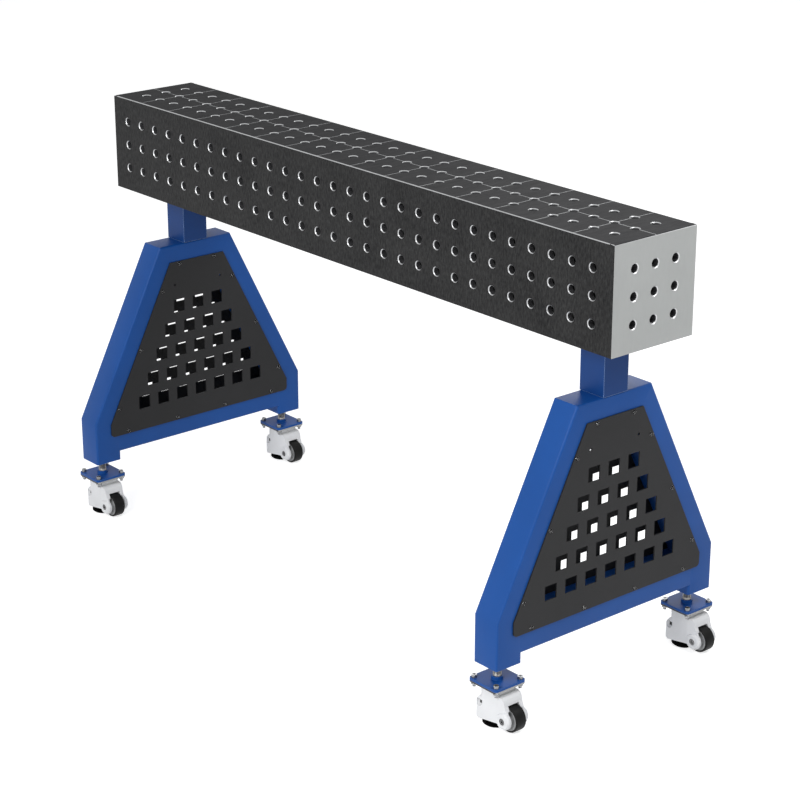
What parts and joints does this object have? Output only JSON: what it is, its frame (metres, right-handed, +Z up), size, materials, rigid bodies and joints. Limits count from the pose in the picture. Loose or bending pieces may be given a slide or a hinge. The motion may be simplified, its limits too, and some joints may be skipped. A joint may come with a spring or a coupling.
{
  "type": "welding trestle",
  "caption": "Drilled steel box beam on two welded stands with screw-adjusted levelling swivel feet, for clamping and carrying work while welding.",
  "frame": {"origin": "middle of the footprint, on the floor", "axes": "+Z up, X along the beam (left is -X, right is +X), Y across it (front is -Y, rear is +Y)"},
  "size_m": [1.5, 0.564, 0.885],
  "materials": {
    "dark_steel": "dark nitrided, vertically ground, satin",
    "end_steel": "bright ground, satin",
    "blue_paint": "blue powder coat, semi-gloss",
    "dark_panel": "dark grey powder coat, matt",
    "dark_screws": "blackened",
    "bright_steel": "zinc plated",
    "grey_plate": "light grey coat",
    "white_paint": "white coat on a casting",
    "wheel_core": "light grey, moulded",
    "tyre": "black, smooth",
    "thumbwheel": "black, moulded",
    "pad": "black, matt"
  },
  "bodies": {
    "frame": {"beam_top_plate": "dark_steel", "beam_bottom_plate": "dark_steel", "beam_front_plate": "dark_steel", "beam_rear_plate": "dark_steel", "beam_end_plates": "end_steel", "beam_ribs": "dark_steel", "masts": "blue_paint", "mast_bolts": "bright_steel", "top_rails": "blue_paint", "bottom_rails": "blue_paint", "left_front_post": "blue_paint", "left_rear_post": "blue_paint", "right_front_post": "blue_paint", "right_rear_post": "blue_paint", "left_outer_panel": "dark_panel", "left_inner_panel": "dark_panel", "right_inner_panel": "dark_panel", "right_outer_panel": "dark_panel", "panel_screws": "dark_screws", "post_end_plates": "blue_paint"},
    "left_front_spindle_body": {"left_front_spindle": "bright_steel"},
    "left_front_plate_body": {"left_front_foot_plate": "blue_paint", "left_front_foot_bolts": "bright_steel", "left_front_caster_plate": "grey_plate"},
    "left_front_caster_body": {"left_front_housing": "white_paint", "left_front_axle": "bright_steel"},
    "left_front_wheel_body": {"left_front_wheel_core": "wheel_core", "left_front_tyre": "tyre"},
    "left_front_thumbwheel_body": {"left_front_thumbwheel": "thumbwheel"},
    "left_front_level_foot_body": {"left_front_level_foot": "pad"},
    "left_rear_spindle_body": {"left_rear_spindle": "bright_steel"},
    "left_rear_plate_body": {"left_rear_foot_plate": "blue_paint", "left_rear_foot_bolts": "bright_steel", "left_rear_caster_plate": "grey_plate"},
    "left_rear_caster_body": {"left_rear_housing": "white_paint", "left_rear_axle": "bright_steel"},
    "left_rear_wheel_body": {"left_rear_wheel_core": "wheel_core", "left_rear_tyre": "tyre"},
    "left_rear_thumbwheel_body": {"left_rear_thumbwheel": "thumbwheel"},
    "left_rear_level_foot_body": {"left_rear_level_foot": "pad"},
    "right_front_spindle_body": {"right_front_spindle": "bright_steel"},
    "right_front_plate_body": {"right_front_foot_plate": "blue_paint", "right_front_foot_bolts": "bright_steel", "right_front_caster_plate": "grey_plate"},
    "right_front_caster_body": {"right_front_housing": "white_paint", "right_front_axle": "bright_steel"},
    "right_front_wheel_body": {"right_front_wheel_core": "wheel_core", "right_front_tyre": "tyre"},
    "right_front_thumbwheel_body": {"right_front_thumbwheel": "thumbwheel"},
    "right_front_level_foot_body": {"right_front_level_foot": "pad"},
    "right_rear_spindle_body": {"right_rear_spindle": "bright_steel"},
    "right_rear_plate_body": {"right_rear_foot_plate": "blue_paint", "right_rear_foot_bolts": "bright_steel", "right_rear_caster_plate": "grey_plate"},
    "right_rear_caster_body": {"right_rear_housing": "white_paint", "right_rear_axle": "bright_steel"},
    "right_rear_wheel_body": {"right_rear_wheel_core": "wheel_core", "right_rear_tyre": "tyre"},
    "right_rear_thumbwheel_body": {"right_rear_thumbwheel": "thumbwheel"},
    "right_rear_level_foot_body": {"right_rear_level_foot": "pad"}
  },
  "joints": [
    {"name": "left_front_height_slide", "type": "slide", "parent": "frame", "child": "left_front_spindle_body", "axis": [0, 0, 1], "range_m": [-0.025, 0.02]},
    {"name": "left_front_height_turn", "type": "hinge", "parent": "left_front_spindle_body", "child": "left_front_plate_body", "pos_m": [-0.6375, -0.2455, 0.088], "axis": [0, 0, 1], "range_deg": [-4500, 3600]},
    {"name": "left_front_swivel", "type": "hinge", "parent": "left_front_plate_body", "child": "left_front_caster_body", "pos_m": [-0.6375, -0.2455, 0.0772], "axis": [0, 0, 1], "continuous": true},
    {"name": "left_front_wheel_roll", "type": "hinge", "parent": "left_front_caster_body", "child": "left_front_wheel_body", "pos_m": [-0.5965, -0.2455, 0.025], "axis": [0, 1, 0], "continuous": true},
    {"name": "left_front_thumbwheel_turn", "type": "hinge", "parent": "left_front_caster_body", "child": "left_front_thumbwheel_body", "pos_m": [-0.6375, -0.2455, 0.04625], "axis": [0, 0, 1], "range_deg": [0, 2520]},
    {"name": "left_front_level_slide", "type": "slide", "parent": "left_front_caster_body", "child": "left_front_level_foot_body", "axis": [0, 0, -1], "range_m": [0, 0.01225]},
    {"name": "left_rear_height_slide", "type": "slide", "parent": "frame", "child": "left_rear_spindle_body", "axis": [0, 0, 1], "range_m": [-0.025, 0.02]},
    {"name": "left_rear_height_turn", "type": "hinge", "parent": "left_rear_spindle_body", "child": "left_rear_plate_body", "pos_m": [-0.6375, 0.2455, 0.088], "axis": [0, 0, 1], "range_deg": [-4500, 3600]},
    {"name": "left_rear_swivel", "type": "hinge", "parent": "left_rear_plate_body", "child": "left_rear_caster_body", "pos_m": [-0.6375, 0.2455, 0.0772], "axis": [0, 0, 1], "continuous": true},
    {"name": "left_rear_wheel_roll", "type": "hinge", "parent": "left_rear_caster_body", "child": "left_rear_wheel_body", "pos_m": [-0.5965, 0.2455, 0.025], "axis": [0, 1, 0], "continuous": true},
    {"name": "left_rear_thumbwheel_turn", "type": "hinge", "parent": "left_rear_caster_body", "child": "left_rear_thumbwheel_body", "pos_m": [-0.6375, 0.2455, 0.04625], "axis": [0, 0, 1], "range_deg": [0, 2520]},
    {"name": "left_rear_level_slide", "type": "slide", "parent": "left_rear_caster_body", "child": "left_rear_level_foot_body", "axis": [0, 0, -1], "range_m": [0, 0.01225]},
    {"name": "right_front_height_slide", "type": "slide", "parent": "frame", "child": "right_front_spindle_body", "axis": [0, 0, 1], "range_m": [-0.025, 0.02]},
    {"name": "right_front_height_turn", "type": "hinge", "parent": "right_front_spindle_body", "child": "right_front_plate_body", "pos_m": [0.6375, -0.2455, 0.088], "axis": [0, 0, 1], "range_deg": [-4500, 3600]},
    {"name": "right_front_swivel", "type": "hinge", "parent": "right_front_plate_body", "child": "right_front_caster_body", "pos_m": [0.6375, -0.2455, 0.0772], "axis": [0, 0, 1], "continuous": true},
    {"name": "right_front_wheel_roll", "type": "hinge", "parent": "right_front_caster_body", "child": "right_front_wheel_body", "pos_m": [0.6785, -0.2455, 0.025], "axis": [0, 1, 0], "continuous": true},
    {"name": "right_front_thumbwheel_turn", "type": "hinge", "parent": "right_front_caster_body", "child": "right_front_thumbwheel_body", "pos_m": [0.6375, -0.2455, 0.04625], "axis": [0, 0, 1], "range_deg": [0, 2520]},
    {"name": "right_front_level_slide", "type": "slide", "parent": "right_front_caster_body", "child": "right_front_level_foot_body", "axis": [0, 0, -1], "range_m": [0, 0.01225]},
    {"name": "right_rear_height_slide", "type": "slide", "parent": "frame", "child": "right_rear_spindle_body", "axis": [0, 0, 1], "range_m": [-0.025, 0.02]},
    {"name": "right_rear_height_turn", "type": "hinge", "parent": "right_rear_spindle_body", "child": "right_rear_plate_body", "pos_m": [0.6375, 0.2455, 0.088], "axis": [0, 0, 1], "range_deg": [-4500, 3600]},
    {"name": "right_rear_swivel", "type": "hinge", "parent": "right_rear_plate_body", "child": "right_rear_caster_body", "pos_m": [0.6375, 0.2455, 0.0772], "axis": [0, 0, 1], "continuous": true},
    {"name": "right_rear_wheel_roll", "type": "hinge", "parent": "right_rear_caster_body", "child": "right_rear_wheel_body", "pos_m": [0.6785, 0.2455, 0.025], "axis": [0, 1, 0], "continuous": true},
    {"name": "right_rear_thumbwheel_turn", "type": "hinge", "parent": "right_rear_caster_body", "child": "right_rear_thumbwheel_body", "pos_m": [0.6375, 0.2455, 0.04625], "axis": [0, 0, 1], "range_deg": [0, 2520]},
    {"name": "right_rear_level_slide", "type": "slide", "parent": "right_rear_caster_body", "child": "right_rear_level_foot_body", "axis": [0, 0, -1], "range_m": [0, 0.01225]}
  ],
  "couplings": [
    {"joint": "left_front_height_turn", "follows": "left_front_height_slide", "rad_per_m": 3141.6},
    {"joint": "left_front_thumbwheel_turn", "follows": "left_front_level_slide", "rad_per_m": 3590.4},
    {"joint": "left_rear_height_turn", "follows": "left_rear_height_slide", "rad_per_m": 3141.6},
    {"joint": "left_rear_thumbwheel_turn", "follows": "left_rear_level_slide", "rad_per_m": 3590.4},
    {"joint": "right_front_height_turn", "follows": "right_front_height_slide", "rad_per_m": 3141.6},
    {"joint": "right_front_thumbwheel_turn", "follows": "right_front_level_slide", "rad_per_m": 3590.4},
    {"joint": "right_rear_height_turn", "follows": "right_rear_height_slide", "rad_per_m": 3141.6},
    {"joint": "right_rear_thumbwheel_turn", "follows": "right_rear_level_slide", "rad_per_m": 3590.4}
  ]
}
